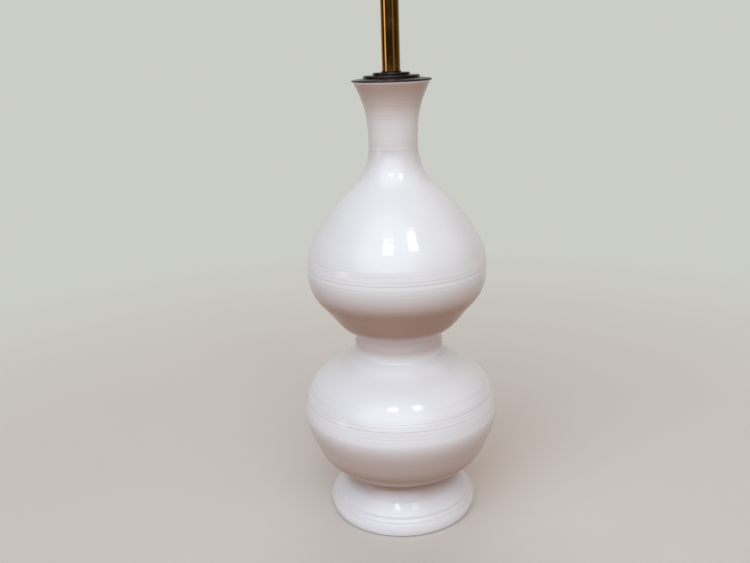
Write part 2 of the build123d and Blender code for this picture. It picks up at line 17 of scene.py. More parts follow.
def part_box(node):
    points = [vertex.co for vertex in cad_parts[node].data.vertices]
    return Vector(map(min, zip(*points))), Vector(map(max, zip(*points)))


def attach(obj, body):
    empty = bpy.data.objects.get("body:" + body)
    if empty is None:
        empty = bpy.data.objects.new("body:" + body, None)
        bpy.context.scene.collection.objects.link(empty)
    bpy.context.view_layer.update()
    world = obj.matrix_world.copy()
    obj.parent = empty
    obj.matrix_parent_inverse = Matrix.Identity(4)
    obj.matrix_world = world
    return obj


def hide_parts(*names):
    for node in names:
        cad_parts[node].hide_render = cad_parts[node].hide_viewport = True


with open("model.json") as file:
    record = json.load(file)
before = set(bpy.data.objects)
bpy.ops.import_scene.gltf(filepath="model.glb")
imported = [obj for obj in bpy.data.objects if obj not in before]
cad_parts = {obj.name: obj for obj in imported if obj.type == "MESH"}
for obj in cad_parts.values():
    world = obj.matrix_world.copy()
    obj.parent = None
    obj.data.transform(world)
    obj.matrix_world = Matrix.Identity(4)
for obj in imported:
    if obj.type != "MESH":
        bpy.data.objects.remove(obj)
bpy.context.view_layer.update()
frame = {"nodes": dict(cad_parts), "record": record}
nodes = frame["nodes"]
MM = 0.001
SIDES = ("left", "right")

# %% read sizes from the frame


def ends_z(node):
    """The lowest and the highest height of a frame part."""
    return [corner[2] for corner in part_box(node)]


def middle_x(node):
    """The x of a frame part's own axis."""
    low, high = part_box(node)
    return (low[0] + high[0]) / 2


def new_object(name, data):
    """An object of the scene, at the origin and without a turn."""
    made = bpy.data.objects.new(name, data)
    bpy.context.scene.collection.objects.link(made)
    return made


foot_bottom, lip_z = ends_z("gourd_body")
print("gourd: from", round(foot_bottom / MM, 1), "to", round(lip_z / MM, 1), "mm")

# %% [markdown]
# ## Camera
# The photograph was taken from chest height, a little above the lamp's neck, looking down at the body, so
# the stem leaves the top of the picture. Four measured facts give the camera: how far away it stood, how
# high, where it pointed, and a lens a little longer than the width of the sensor. The lamp stands right of
# the middle.

# %% camera
PHOTO_WIDTH = 750
FOCAL_PIXELS = 785
SENSOR_WIDTH = 36
CAMERA_DISTANCE = 0.700
CAMERA_ABOVE_FOOT = 0.433
TILT_DOWN = math.radians(16.48)
TURN_LEFT = math.radians(1.68)
ROLL = math.radians(-2.06)

camera_data = bpy.data.cameras.new("photo_camera")
camera_data.sensor_width = SENSOR_WIDTH
camera_data.lens = SENSOR_WIDTH * FOCAL_PIXELS / PHOTO_WIDTH
camera = new_object("photo_camera", camera_data)
aim = (
    Matrix.Rotation(TURN_LEFT, 4, "Z")
    @ Matrix.Rotation(math.pi / 2 - TILT_DOWN, 4, "X")
    @ Matrix.Rotation(ROLL, 4, "Z")
)
camera.matrix_world = Matrix.Translation((0, -CAMERA_DISTANCE, foot_bottom + CAMERA_ABOVE_FOOT)) @ aim
bpy.context.scene.camera = camera
bpy.context.scene.view_settings.view_transform = "Standard"
print("camera: lens", round(camera_data.lens, 1), "mm at", [round(v, 3) for v in camera.location])

# %% [markdown]
# ## Node helpers
# The room, every finish and every turned shape are nets of nodes. A few small functions keep such a net
# readable: one joins a socket or a plain value to an input, one adds a node with its settings, and the
# others are the sums, masks, noises and mixes that come back all the time.

# %% node helpers


def plug(tree, value, socket):
    """Gives an input its value: a link from another socket, a colour of three numbers or a plain value."""
    if isinstance(value, bpy.types.NodeSocket):
        tree.links.new(value, socket)
    elif isinstance(value, tuple):
        socket.default_value = (*value, 1)
    else:
        socket.default_value = value


def add(tree, kind, *values, **settings):
    """A new node. Values fill its inputs in order. A setting is a property, or an input after in_."""
    node = tree.nodes.new(kind)
    for name, value in settings.items():
        if name.startswith("in_"):
            plug(tree, value, node.inputs[name[3:].replace("_", " ")])
        else:
            setattr(node, name, value)
    for value, socket in zip(values, node.inputs):
        plug(tree, value, socket)
    return node


def calc(tree, operation, *values):
    """One Math node on sockets or plain numbers."""
    return add(tree, "ShaderNodeMath", *values, operation=operation).outputs[0]


def times(tree, first, *others):
    """The product of sockets and plain numbers."""
    for other in others:
        first = calc(tree, "MULTIPLY", first, other)
    return first


def combine(tree, x, y, z):
    """A vector from sockets or plain numbers."""
    return add(tree, "ShaderNodeCombineXYZ", x, y, z).outputs[0]


def split(tree, vector):
    """The parts of a vector, named X, Y and Z."""
    return add(tree, "ShaderNodeSeparateXYZ", vector).outputs


def remap(tree, value, low, high, to_low=0.0, to_high=1.0, kind="LINEAR"):
    """A value carried from one range to another and clamped there."""
    node = add(
        tree, "ShaderNodeMapRange", interpolation_type=kind, in_Value=value,
        in_From_Min=low, in_From_Max=high, in_To_Min=to_low, in_To_Max=to_high,
    )
    return node.outputs["Result"]


def step_between(tree, value, low, high):
    """0 below low, 1 above high, and a smooth rise between."""
    return remap(tree, value, low, high, kind="SMOOTHSTEP")


def mix_colour(tree, factor, first, second):
    """A colour that goes from first to second as the factor goes from 0 to 1."""
    mix = add(tree, "ShaderNodeMix", data_type="RGBA", in_Factor=factor, in_A=first, in_B=second)
    return mix.outputs["Result"]


def noise(tree, place, scale, **settings):
    """Soft grey noise at a place, with so many lumps per metre."""
    return add(tree, "ShaderNodeTexNoise", in_Vector=place, in_Scale=scale, **settings).outputs["Fac"]


def ray_kinds(tree):
    """Two masks: 1 for rays from the camera, and 1 for rays by way of a mirror or through glass."""
    path = add(tree, "ShaderNodeLightPath").outputs
    return path["Is Camera Ray"], calc(tree, "MAXIMUM", path["Is Glossy Ray"], path["Is Transmission Ray"])


print("helpers: input, node, sums, vectors, ranges, colour, noise and rays")

# %% [markdown]
# ## Studio
# White glaze shows mostly what surrounds it, so the studio matters as much as the material. The room is
# pale behind the lamp and overhead, and dimmer low down on the camera's side, which gives the brass its
# dark and bright bands. Mirrors see the backdrop's own colour wherever the room is pale.

# %% the room
BACKDROP_COLOUR = (0.60, 0.61, 0.57)
ROOM_COLOUR = (0.46, 0.395, 0.34)
DIM_COLOUR = (0.042, 0.037, 0.032)
# How far up, and how far behind, a direction points where the room begins to be pale and is fully so
PALE_UP = (0.3, 0.75)
PALE_BEHIND = (0.2, 0.9)
OVERHEAD = 0.5

world = bpy.data.worlds.new("studio")
bpy.context.scene.world = world
world.use_nodes = True
sky = world.node_tree
sky.nodes.clear()


def shine(colour, strength):
    """Light of the world, of a colour and a strength."""
    return add(sky, "ShaderNodeBackground", colour, strength).outputs[0]


direction = add(sky, "ShaderNodeTexCoord").outputs["Generated"]
heading = split(sky, direction)
camera_ray, mirror_ray = ray_kinds(sky)
overhead = times(sky, step_between(sky, heading["Z"], *PALE_UP), OVERHEAD)
pale_side = calc(sky, "MAXIMUM", step_between(sky, heading["Y"], *PALE_BEHIND), overhead)
pale_colour = mix_colour(sky, mirror_ray, ROOM_COLOUR, BACKDROP_COLOUR)
room = shine(mix_colour(sky, pale_side, DIM_COLOUR, pale_colour), 1.0)
print("room: pale behind and overhead, dim in front")

# %% [markdown]
# ## Soft lights of the room
# The main light is a broad soft glow high in front, part of the world itself, so that no hard-edged panel
# shows in the glaze. A second one lies to the right. A third lies behind and lights matt surfaces alone, so
# that the lamp's back is lit too and no mirror shows it. Low in the dim part of the room are a few paler
# places, which the polished stem mirrors as upright bands.

# %% glows and spots
# Each glow: where it lies, its colour, its brightness, and how close to its middle it starts and is full
GLOWS = (
    ((-0.20, -0.79, 0.58), (0.86, 0.99, 1.16), 2.08, 0.60, 0.98),
    ((0.80, -0.42, 0.42), (1.0, 0.88, 0.80), 0.35, 0.45, 0.95),
)
BACK_GLOW = ((0.0, 0.86, 0.50), (0.98, 0.99, 1.0), 0.8, 0.72, 0.98)
# How far up a direction points where the front glows begin and are full
GLOW_FOOT, GLOW_FULL = 0.02, 0.36
SPOT_COLOUR = (0.66, 0.53, 0.425)
# Each spot: degrees to the right of the camera, half its width in degrees, and its brightness
ROOM_SPOTS = ((-70, 8, 3.2), (37, 9, 0.45), (95, 19, 0.08))
# Where a spot is full and where it ends, as shares of half its width
SPOT_EDGES = (0.6, 1.4)


def lobe(towards, colour, brightness, low, high, weight=1.0):
    """The room with one more soft bright place, which a weight can fade."""
    along = add(sky, "ShaderNodeVectorMath", direction, Vector(towards).normalized(), operation="DOT_PRODUCT")
    strength = times(sky, step_between(sky, along.outputs["Value"], low, high), brightness, weight)
    return add(sky, "ShaderNodeAddShader", room, shine(colour, strength)).outputs[0]


above_horizon = step_between(sky, heading["Z"], GLOW_FOOT, GLOW_FULL)
for front_glow in GLOWS:
    room = lobe(*front_glow, above_horizon)
room = lobe(*BACK_GLOW, calc(sky, "SUBTRACT", 1.0, mirror_ray))
for right_of_camera, half_width, brightness in ROOM_SPOTS:
    bearing = math.radians(right_of_camera)
    full, end = (math.cos(math.radians(half_width * share)) for share in SPOT_EDGES)
    room = lobe((math.sin(bearing), -math.cos(bearing), 0), SPOT_COLOUR, brightness, end, full)
seen = add(sky, "ShaderNodeMixShader", camera_ray, room, shine(BACKDROP_COLOUR, 1.0)).outputs[0]
add(sky, "ShaderNodeOutputWorld", in_Surface=seen)
print("soft lights:", len(GLOWS) + 1, "glows and", len(ROOM_SPOTS), "spots")

# %% [markdown]
# ## Panes and floor
# Two small panes close in front give the paired bright rectangles on each bulge: where they stand was found
# by following the mirrored rays from both. The camera sees the pale backdrop everywhere, and further on the
# floor fades into it, so no horizon shows.

# %% panes
BULGES = Vector((0, 0, 0.20))
PANE_COLOUR = (0.85, 1.0, 1.0)
# Each pane: its name, its width and height, its place and its power
PANES = (
    ("pane_left", (0.10, 0.10), (-0.08, -0.36, 0.62), 0.16),
    ("pane_right", (0.11, 0.12), (0.19, -0.36, 0.715), 0.21),
)
for name, (width, height), place, power in PANES:
    pane_data = bpy.data.lights.new(name, "AREA")
    pane_data.shape = "RECTANGLE"
    pane_data.size = width
    pane_data.size_y = height
    pane_data.energy = power
    pane_data.color = PANE_COLOUR
    pane = new_object(name, pane_data)
    pane.location = place
    pane.rotation_euler = (BULGES - Vector(place)).to_track_quat("-Z", "Y").to_euler()
    pane.visible_camera = False
print("panes:", len(PANES), "facing the bulges")

# %% floor
FLOOR_REACH = 6.0

floor_mesh = bpy.data.meshes.new("studio_floor")
corners = [(x * FLOOR_REACH, y * FLOOR_REACH, 0) for x, y in ((-1, -1), (1, -1), (1, 1), (-1, 1))]
floor_mesh.from_pydata(corners, [], [(0, 1, 2, 3)])
floor = new_object("studio_floor", floor_mesh)
print("floor:", 2 * FLOOR_REACH, "m wide")

# %% [markdown]
# ## Material helpers
# A finish is a Principled BSDF. What is the same all over it is set straight on its inputs. What changes
# from place to place comes from small effects that feed its colour, its roughness or the height of a bump.

# %% material helpers
finishes = {}


def new_material(name, base, roughness, **plain):
    """A material with a Principled BSDF, kept by its name. plain holds more inputs, the same all over."""
    material = bpy.data.materials.new(name)
    material.use_nodes = True
    tree = material.node_tree
    for label, value in {"Base_Color": base, "Roughness": roughness, **plain}.items():
        plug(tree, value, tree.nodes["Principled BSDF"].inputs[label.replace("_", " ")])
    finishes[name] = material
    return material


def object_place(tree):
    """Object coordinates, which stay on the piece, from one node for the whole material."""
    node = tree.nodes.get("Object place") or add(tree, "ShaderNodeTexCoord", name="Object place")
    return node.outputs["Object"]


def effect_group(name, inputs, outputs):
    """An empty node group, the sockets of its Vector and named values, and the sockets of its outputs."""
    group = bpy.data.node_groups.new(name, "ShaderNodeTree")
    group.interface.new_socket("Vector", in_out="INPUT", socket_type="NodeSocketVector")
    for label, value in inputs:
        socket = group.interface.new_socket(label, in_out="INPUT", socket_type="NodeSocketFloat")
        socket.default_value = value
    for label in outputs:
        group.interface.new_socket(label, in_out="OUTPUT", socket_type="NodeSocketFloat")
    return group, add(group, "NodeGroupInput").outputs, add(group, "NodeGroupOutput").inputs


def place_effect(material, group, **values):
    """The outputs of an effect that reads the material's object coordinates."""
    tree = material.node_tree
    node = add(tree, "ShaderNodeGroup", node_tree=group)
    plug(tree, object_place(tree), node.inputs["Vector"])
    for label, value in values.items():
        plug(tree, value, node.inputs[label.replace("_", " ")])
    return node.outputs


def feed(material, label, value):
    """Joins a socket to one of the shader's inputs."""
    tree = material.node_tree
    plug(tree, value, tree.nodes["Principled BSDF"].inputs[label])


def bump(material, height, strength, distance):
    """Joins a height to the shader's Normal through a Bump node, on top of any bump that is there."""
    tree = material.node_tree
    normal = tree.nodes["Principled BSDF"].inputs["Normal"]
    node = add(tree, "ShaderNodeBump", in_Strength=strength, in_Distance=distance, in_Height=height)
    if normal.links:
        plug(tree, normal.links[0].from_socket, node.inputs["Normal"])
    plug(tree, node.outputs["Normal"], normal)


print("helpers: material, place, effect, input and bump")

# %% [markdown]
# ## Shared effects
# An effect that several finishes need is a node group, built once with named inputs: a slow drift of the
# colour, the fine turning lines that a tool leaves, and the smudges and hairline scratches of handling.

# %% colour drift and turning lines
# Between which greys of a noise its mask goes from 0 to 1
DRIFT_CONTRAST = (0.32, 0.68)
LINE_CONTRAST = (0.3, 0.7)

drift, drift_in, drift_out = effect_group("colour_drift", [("Scale", 12.0), ("Stretch", 1.0)], ["Mask"])
stretch = combine(drift, 1.0, 1.0, drift_in["Stretch"])
stretched = add(drift, "ShaderNodeVectorMath", drift_in["Vector"], stretch, operation="MULTIPLY").outputs[0]
drift_noise = noise(drift, stretched, drift_in["Scale"], in_Detail=4.0, in_Roughness=0.55)
plug(drift, remap(drift, drift_noise, *DRIFT_CONTRAST), drift_out["Mask"])

turning, turning_in, turning_out = effect_group(
    "turning_lines", [("Lines per metre", 900.0), ("Waver", 6.0)], ["Height"]
)
turning_place = split(turning, turning_in["Vector"])
squeezed = combine(
    turning,
    times(turning, turning_place["X"], turning_in["Waver"]),
    times(turning, turning_place["Y"], turning_in["Waver"]),
    times(turning, turning_place["Z"], turning_in["Lines per metre"]),
)
line_noise = noise(turning, squeezed, 1.0, in_Detail=3.0, in_Roughness=0.6)
plug(turning, remap(turning, line_noise, *LINE_CONTRAST), turning_out["Height"])
print("effects:", drift.name, "and", turning.name)

# %% handling
SMUDGE_CONTRAST = (0.42, 0.66)
# A scratch is where its noise lies this close to middle grey
SCRATCH_WIDTH = 0.008

handling, handling_in, handling_out = effect_group(
    "handling", [("Smudge scale", 30.0), ("Scratch scale", 160.0)], ["Smudge", "Scratch"]
)
smudge_noise = noise(
    handling, handling_in["Vector"], handling_in["Smudge scale"],
    in_Detail=6.0, in_Roughness=0.65, in_Distortion=0.4,
)
scratch_noise = noise(
    handling, handling_in["Vector"], handling_in["Scratch scale"],
    in_Detail=2.0, in_Roughness=0.5, in_Distortion=2.2,
)
from_middle = calc(handling, "ABSOLUTE", calc(handling, "SUBTRACT", scratch_noise, 0.5))
plug(handling, remap(handling, smudge_noise, *SMUDGE_CONTRAST), handling_out["Smudge"])
plug(handling, remap(handling, from_middle, 0.0, SCRATCH_WIDTH, 1.0, 0.0), handling_out["Scratch"])
print("effects:", handling.name, "with smudges and scratches")

# %% [markdown]
# ## Floor finish
# The floor is a plain pale sheet, a little warm, with a faint drift of its colour. Away from the lamp it
# turns into the backdrop's colour wherever it is seen directly or in a mirror, while near the lamp it keeps
# the shadow.

# %% floor material
FLOOR_NEAR = (0.71, 0.635, 0.57)
FLOOR_DARKER = tuple(value * 0.97 for value in FLOOR_NEAR)
FLOOR_ROUGHNESS = 0.6
FADE_FROM, FADE_TO = 0.30, 1.10

floor_paint = new_material("studio_floor", FLOOR_NEAR, FLOOR_ROUGHNESS)
paper = floor_paint.node_tree
floor_drift = place_effect(floor_paint, drift, Scale=1.6)
feed(floor_paint, "Base Color", mix_colour(paper, floor_drift["Mask"], FLOOR_NEAR, FLOOR_DARKER))
from_lamp = add(paper, "ShaderNodeVectorMath", object_place(paper), operation="LENGTH").outputs["Value"]
far_away = step_between(paper, from_lamp, FADE_FROM, FADE_TO)
fade = times(paper, far_away, calc(paper, "MAXIMUM", *ray_kinds(paper)))
sheet = paper.nodes["Principled BSDF"].outputs[0]
backdrop = add(paper, "ShaderNodeEmission", BACKDROP_COLOUR, 1.0).outputs[0]
faded = add(paper, "ShaderNodeMixShader", fade, sheet, backdrop).outputs[0]
plug(paper, faded, paper.nodes["Material Output"].inputs["Surface"])
floor_mesh.materials.append(floor_paint)
print("floor: matt, pale and without a horizon")

# %% [markdown]
# ## Glaze
# The body is a white tin glaze over a pinkish clay. Under each overhang, in the crease over the foot, at the
# waist and on the neck the glaze gets a painted warm brown shade, which the body's mesh carries as a weight,
# and a weight named ringed marks the places with fine rings. Over the ridges that the potter's fingers left
# the glaze is a little thinner. It is glossy, slightly uneven like the skin of an orange, with a few dark
# pinholes where bubbles burst in the kiln.

# %% glaze colours
GLAZE_WHITE = (0.82, 0.775, 0.765)
GLAZE_RIDGE = (0.80, 0.755, 0.745)
# Painted shade: a warm dark brown for the shade under overhangs, in the foot crease, at the waist and on the
# neck
PAINTED_SHADE_BROWN = (0.36, 0.195, 0.125)
GLAZE_RING = (0.56, 0.455, 0.41)
PINHOLE_BROWN = (0.16, 0.11, 0.08)
GLAZE_ROUGHNESS, GLAZE_IOR = 0.09, 1.52
# From which range of an effect to which weight of its colour
RIDGE_RANGE = (0.1, 1.0, 0.0, 0.7)
RING_RANGE = (0.55, 0.9, 0.0, 0.75)


def mesh_weight(tree, label):
    """A named weight that the mesh carries."""
    return add(tree, "ShaderNodeAttribute", attribute_name=label).outputs["Fac"]


glaze = new_material("white_glaze", GLAZE_WHITE, GLAZE_ROUGHNESS, IOR=GLAZE_IOR)
tree = glaze.node_tree
glaze_drift = place_effect(glaze, drift, Scale=9.0, Stretch=2.2)
glaze_rings = place_effect(glaze, turning, Lines_per_metre=260.0, Waver=3.0)
fine_rings = place_effect(glaze, turning, Lines_per_metre=620.0, Waver=1.2)
on_ridges = remap(tree, times(tree, glaze_drift["Mask"], glaze_rings["Height"]), *RIDGE_RANGE)
on_rings = times(tree, remap(tree, fine_rings["Height"], *RING_RANGE), mesh_weight(tree, "ringed"))
body_colour = mix_colour(tree, on_ridges, GLAZE_WHITE, GLAZE_RIDGE)
body_colour = mix_colour(tree, on_rings, body_colour, GLAZE_RING)
# Painted shade: the glaze turns warm brown where the painted shade weight is high
body_colour = mix_colour(tree, mesh_weight(tree, "thin"), body_colour, PAINTED_SHADE_BROWN)
print("glaze colours: white, ridge, ring and overhang")

# %% pinholes and gloss
# A pinhole fills the middle of a cell, up to these distances, and few cells have one
PINHOLE_EDGE = (0.018, 0.03, 1.0, 0.0)
PINHOLE_CHOICE = (0.955, 0.96)
GLOSS = (0.03, 0.08)
RIDGE_BUMP, RIDGE_DEPTH = 0.5, 0.12 * MM
SKIN_BUMP, SKIN_DEPTH, SKIN_LUMPS = 0.25, 0.06 * MM, 140.0

cells = add(tree, "ShaderNodeTexVoronoi", object_place(tree), in_Scale=42.0, in_Randomness=1.0).outputs
choice = add(tree, "ShaderNodeTexWhiteNoise", noise_dimensions="3D", in_Vector=cells["Position"])
pinhole = times(
    tree, remap(tree, cells["Distance"], *PINHOLE_EDGE), remap(tree, choice.outputs["Value"], *PINHOLE_CHOICE)
)
feed(glaze, "Base Color", mix_colour(tree, pinhole, body_colour, PINHOLE_BROWN))
glaze_wear = place_effect(glaze, handling, Smudge_scale=26.0, Scratch_scale=80.0)
feed(glaze, "Roughness", remap(tree, glaze_wear["Smudge"], 0, 1, *GLOSS))
bump(glaze, glaze_rings["Height"], RIDGE_BUMP, RIDGE_DEPTH)
bump(glaze, noise(tree, object_place(tree), SKIN_LUMPS, in_Detail=1.0), SKIN_BUMP, SKIN_DEPTH)
print("glaze: roughness from", GLOSS[0], "to", GLOSS[1], "with pinholes")

# %% [markdown]
# ## Metals
# Every metal here is a variation on one recipe: a base colour that drifts towards a tarnished one,
# roughness that follows smudges, fine turning lines in the bump, and hairline scratches. One function takes
# the values that differ.

# %% metal materials
SCRATCH_BRIGHTER = 1.25
SCRATCH_WEIGHT = 0.35
LINE_BUMP = 0.5


def metal(name, base, tarnished, roughness, lines=1400.0, line_depth=0.01 * MM, tarnish_scale=40.0):
    """A metal finish: two colours, a range of roughness, and turning lines of a depth in metres."""
    finish = new_material(name, base, roughness[0], Metallic=1.0)
    tree = finish.node_tree
    spread = place_effect(finish, drift, Scale=tarnish_scale, Stretch=0.3)
    wear = place_effect(finish, handling, Smudge_scale=70.0, Scratch_scale=420.0)
    grooves = place_effect(finish, turning, Lines_per_metre=lines, Waver=2.0)
    colour = mix_colour(tree, spread["Mask"], base, tarnished)
    bright = tuple(min(1.0, value * SCRATCH_BRIGHTER) for value in base)
    scratched = times(tree, wear["Scratch"], SCRATCH_WEIGHT)
    feed(finish, "Base Color", mix_colour(tree, scratched, colour, bright))
    feed(finish, "Roughness", remap(tree, wear["Smudge"], 0, 1, *roughness))
    bump(finish, grooves["Height"], LINE_BUMP, line_depth)


metal("aged_brass", (0.62, 0.42, 0.15), (0.36, 0.22, 0.075), (0.16, 0.34))
metal(
    "stem_brass", (0.56, 0.32, 0.085), (0.36, 0.185, 0.045), (0.07, 0.15),
    lines=6.0, line_depth=0.002 * MM, tarnish_scale=30.0,
)
metal("spun_brass", (0.68, 0.50, 0.22), (0.50, 0.34, 0.13), (0.20, 0.38), lines=2600.0)
metal("dark_bronze", (0.070, 0.050, 0.050), (0.032, 0.022, 0.023), (0.28, 0.46), lines=900.0)
metal("zinc_steel", (0.62, 0.62, 0.60), (0.45, 0.44, 0.41), (0.28, 0.46))
metal("bulb_metal", (0.80, 0.80, 0.79), (0.66, 0.66, 0.64), (0.22, 0.36))
print("metals: brass in three finishes, bronze, steel and aluminium")

# %% [markdown]
# ## The other finishes
# Frosted glass is thick white and only faintly glossy. The socket's lining is fibre card, its inside is a
# dull dark moulding, the bush at the cord hole is soft rubber and the underside is felt.

# %% other materials
LUMPS_PER_DRIFT = 12
GRAIN_CONTRAST = (0.3, 0.7)
GRAIN_ROUGHNESS = 0.06
GRAIN_BUMP = 0.5


def dull(name, base, second, roughness, grain, depth, **plain):
    """A non-metal with a grain of so many lumps per metre and a depth in metres."""
    finish = new_material(name, base, roughness, **plain)
    tree = finish.node_tree
    spread = place_effect(finish, drift, Scale=grain / LUMPS_PER_DRIFT)
    lumps = noise(tree, object_place(tree), grain, in_Detail=3.0)
    smooth, rough = roughness - GRAIN_ROUGHNESS, roughness + GRAIN_ROUGHNESS
    feed(finish, "Base Color", mix_colour(tree, spread["Mask"], base, second))
    feed(finish, "Roughness", remap(tree, lumps, *GRAIN_CONTRAST, smooth, rough))
    bump(finish, lumps, GRAIN_BUMP, depth)


dull(
    "frosted_glass", (0.86, 0.855, 0.83), (0.845, 0.84, 0.815),
    roughness=0.34, grain=900.0, depth=0.0015 * MM, Coat_Weight=0.3,
)
dull(
    "liner_card", (0.20, 0.13, 0.08), (0.15, 0.10, 0.06), roughness=0.85, grain=1500.0, depth=0.04 * MM
)
dull(
    "black_phenolic", (0.030, 0.027, 0.026), (0.022, 0.02, 0.02),
    roughness=0.45, grain=1200.0, depth=0.01 * MM,
)
dull(
    "grommet_rubber", (0.035, 0.034, 0.033), (0.05, 0.048, 0.046),
    roughness=0.62, grain=1500.0, depth=0.03 * MM,
)
dull(
    "felt", (0.055, 0.065, 0.05), (0.085, 0.095, 0.075),
    roughness=0.95, grain=2600.0, depth=0.25 * MM, Sheen_Weight=0.4,
)
print("others: glass, card, moulding, rubber and felt")

# %% [markdown]
# ## Finishes on the frame's own parts
# A fitting whose solid already has the right shape stays, and only gets its finish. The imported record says
# which material slot each part has, and a slot's finish has the slot's name. The stem has its own brass.

# %% assign finishes
for subpart in frame["record"]["subparts"]:
    piece = nodes[subpart["node"]]
    finish = finishes["stem_brass" if subpart["node"] == "stem_tube" else subpart["material_slot"]]
    if not piece.material_slots:
        piece.data.materials.append(finish)
    for material_slot in piece.material_slots:
        material_slot.material = finish

# %% [markdown]
# ## Shape helpers
# What repeats or follows a rule is made by Geometry Nodes: a tree with named inputs says how a shape is
# built, and the same tree then makes several pieces from other values. One helper opens such a tree, one
# joins its steps in a row, and one runs it on a source mesh and keeps the result as a single plain mesh.

# %% geometry node helpers


def geometry_tree(name, inputs):
    """An empty tree, and the sockets of its inputs, each (label, socket type, default), and outputs."""
    tree = bpy.data.node_groups.new(name, "GeometryNodeTree")
    tree.interface.new_socket("Geometry", in_out="INPUT", socket_type="NodeSocketGeometry")
    tree.interface.new_socket("Geometry", in_out="OUTPUT", socket_type="NodeSocketGeometry")
    for label, kind, value in inputs:
        socket = tree.interface.new_socket(label, in_out="INPUT", socket_type="NodeSocket" + kind)
        if value is not None:
            socket.default_value = value
    return tree, add(tree, "NodeGroupInput").outputs, add(tree, "NodeGroupOutput").inputs


def in_a_row(tree, start, steps, end):
    """Joins geometry from a start through the first input of each step to an end."""
    for step in steps:
        tree.links.new(start, step.inputs[0])
        start = step.outputs[0]
    tree.links.new(start, end)


def freeze(piece):
    """Keeps what the modifiers make of a piece as its own plain mesh."""
    depsgraph = bpy.context.evaluated_depsgraph_get()
    shaped = bpy.data.meshes.new_from_object(piece.evaluated_get(depsgraph), depsgraph=depsgraph)
    piece.modifiers.clear()
    piece.data = shaped


def run_tree(name, source, tree, **values):
    """Runs a tree on a source mesh and keeps the result as an object with one plain mesh."""
    piece = new_object(name, source)
    modifier = piece.modifiers.new("shape", "NODES")
    modifier.node_group = tree
    for item in tree.interface.items_tree:
        label = item.name.replace(" ", "_")
        if item.in_out == "INPUT" and label in values:
            modifier[item.identifier] = values[label]
    freeze(piece)
    return piece


print("helpers: tree, row, freeze and run")

# %% outline helpers


def outline_mesh(name, points, **weights):
    """A row of points (radius, height) for the lathe tree, with named weights from 0 to 1."""
    mesh = bpy.data.meshes.new(name)
    mesh.from_pydata([(radius, 0, height) for radius, height in points], [], [])
    for label, values in weights.items():
        mesh.attributes.new(label, "FLOAT", "POINT").data.foreach_set("value", values)
    return mesh


def face_outwards(piece):
    """Turns every face of a closed mesh outwards."""
    shape = bmesh.new()
    shape.from_mesh(piece.data)
    bmesh.ops.recalc_face_normals(shape, faces=shape.faces)
    if shape.calc_volume(signed=True) < 0:
        bmesh.ops.reverse_faces(shape, faces=shape.faces)
    shape.to_mesh(piece.data)
    shape.free()


def heights(low, high, step):
    """Even heights from low to high, both included."""
    count = max(1, round(abs(high - low) / step))
    return [low + (high - low) * i / count for i in range(count + 1)]


def wall(radius, low, high, step):
    """A straight wall as outline points a step apart."""
    return [(radius, z) for z in heights(low, high, step)]


print("helpers: outline, faces, heights and wall")

# %% [markdown]
# ## A lathe tree
# Pots, glass, sockets and knobs are all turned: an outline goes round an axis. The tree bends a flat grid
# into that shape. A grid row takes its radius and height from one outline point, and its column gives the
# angle.

# %% lathe rows and columns
lathe, lathe_in, lathe_out = geometry_tree(
    "lathe",
    [
        ("Steps Around", "Int", 48),
        ("Axis X", "Float", 0.0),
        ("Ridge Depth", "Float", 0.0),
        ("Ridges Per Metre", "Float", 150.0),
        ("Oval", "Float", 0.0),
        ("Thread Depth", "Float", 0.0),
        ("Thread Pitch", "Float", 0.0036),
        ("Finish", "Material", None),
    ],
)
outline_size = add(lathe, "GeometryNodeAttributeDomainSize", lathe_in["Geometry"])
outline_count = outline_size.outputs["Point Count"]
steps_around = lathe_in["Steps Around"]
grid_rows = calc(lathe, "ADD", outline_count, 1)
grid_columns = calc(lathe, "ADD", steps_around, 1)
grid = add(lathe, "GeometryNodeMeshGrid", in_Vertices_X=grid_columns, in_Vertices_Y=grid_rows)
index = add(lathe, "GeometryNodeInputIndex").outputs[0]
column = calc(lathe, "FLOOR", calc(lathe, "DIVIDE", calc(lathe, "ADD", index, 0.5), grid_rows))
row = calc(lathe, "SUBTRACT", index, times(lathe, column, grid_rows))
outline_row = calc(lathe, "FLOORED_MODULO", calc(lathe, "ROUND", row), outline_count)
angle = times(lathe, calc(lathe, "DIVIDE", column, steps_around), math.tau)
across = calc(lathe, "COSINE", angle)
along = calc(lathe, "SINE", angle)
print("lathe rows and columns:", len(lathe.nodes), "nodes")

# %% what the outline holds


def read_outline(data_type, value):
    """What the outline holds at the row of the grid point."""
    node = add(
        lathe, "GeometryNodeSampleIndex", data_type=data_type,
        in_Geometry=lathe_in["Geometry"], in_Value=value, in_Index=outline_row,
    )
    return node.outputs["Value"]


def outline_weight(label):
    """A named weight of the outline."""
    weight = add(lathe, "GeometryNodeInputNamedAttribute", data_type="FLOAT", in_Name=label)
    return read_outline("FLOAT", weight.outputs["Attribute"])


position = add(lathe, "GeometryNodeInputPosition").outputs[0]
outline_place = split(lathe, read_outline("FLOAT_VECTOR", position))
radius_in, height_in = outline_place["X"], outline_place["Z"]
print("outline in the tree:", len(lathe.nodes), "nodes")

# %% [markdown]
# ## What the wheel and the tool leave
# Because each point of the lathe's grid is moved by a formula, the same tree can add what a real wheel or
# lathe leaves: the ridges of the potter's fingers, a slightly oval turn, or a screw thread that climbs by
# one pitch in each turn. Weights of the outline say where.

# %% ridges and oval turn
# How far a ridge changes on its way round
WAVER = 0.35

